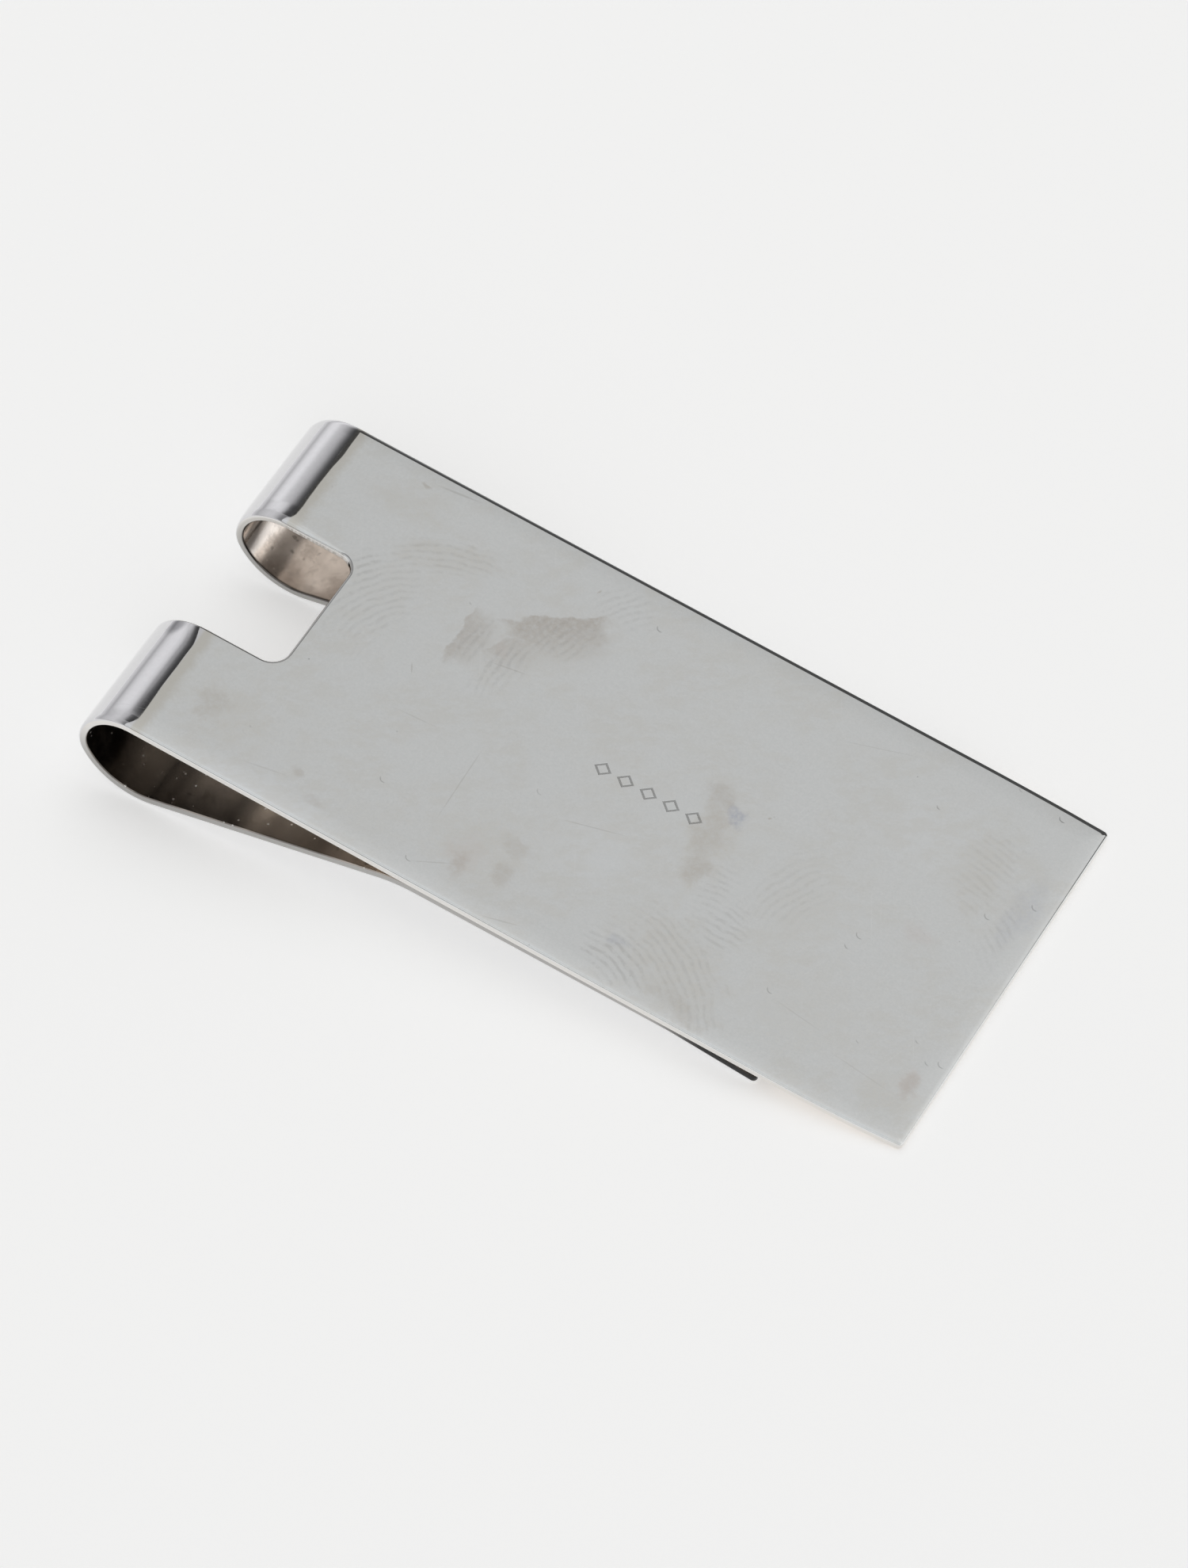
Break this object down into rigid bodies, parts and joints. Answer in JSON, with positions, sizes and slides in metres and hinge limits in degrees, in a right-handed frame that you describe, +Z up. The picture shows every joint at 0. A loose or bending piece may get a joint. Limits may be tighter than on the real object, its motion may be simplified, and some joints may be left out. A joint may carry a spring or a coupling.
{
  "type": "money clip",
  "caption": "Money clip of one polished spring-metal strip folded back on itself, with a square window at the fold and a sprung leaf that presses banknotes against a flat plate.",
  "frame": {"origin": "under the middle of the bounding box of the clip as it lies on a table, on its fold and the free end of its plate", "axes": "+X from the fold towards the free end of the plate, +Y across the clip, +Z up, out of the plate's outer face"},
  "size_m": [0.0534, 0.026, 0.0065],
  "materials": {
    "polished_metal": "polished"
  },
  "bodies": {
    "plate": {"back_plate": "polished_metal", "near_fold_arm": "polished_metal", "far_fold_arm": "polished_metal"},
    "leaf": {"spring_leaf": "polished_metal"}
  },
  "joints": [
    {"name": "leaf_flex", "type": "hinge", "parent": "plate", "child": "leaf", "pos_m": [-0.02524, 0, 0.00347], "axis": [0, 1, 0], "range_deg": [0, 8], "stiffness_Nm_per_rad": 0.5, "springref_deg": -4.58, "deforming": ["near_fold_arm", "far_fold_arm"]}
  ]
}
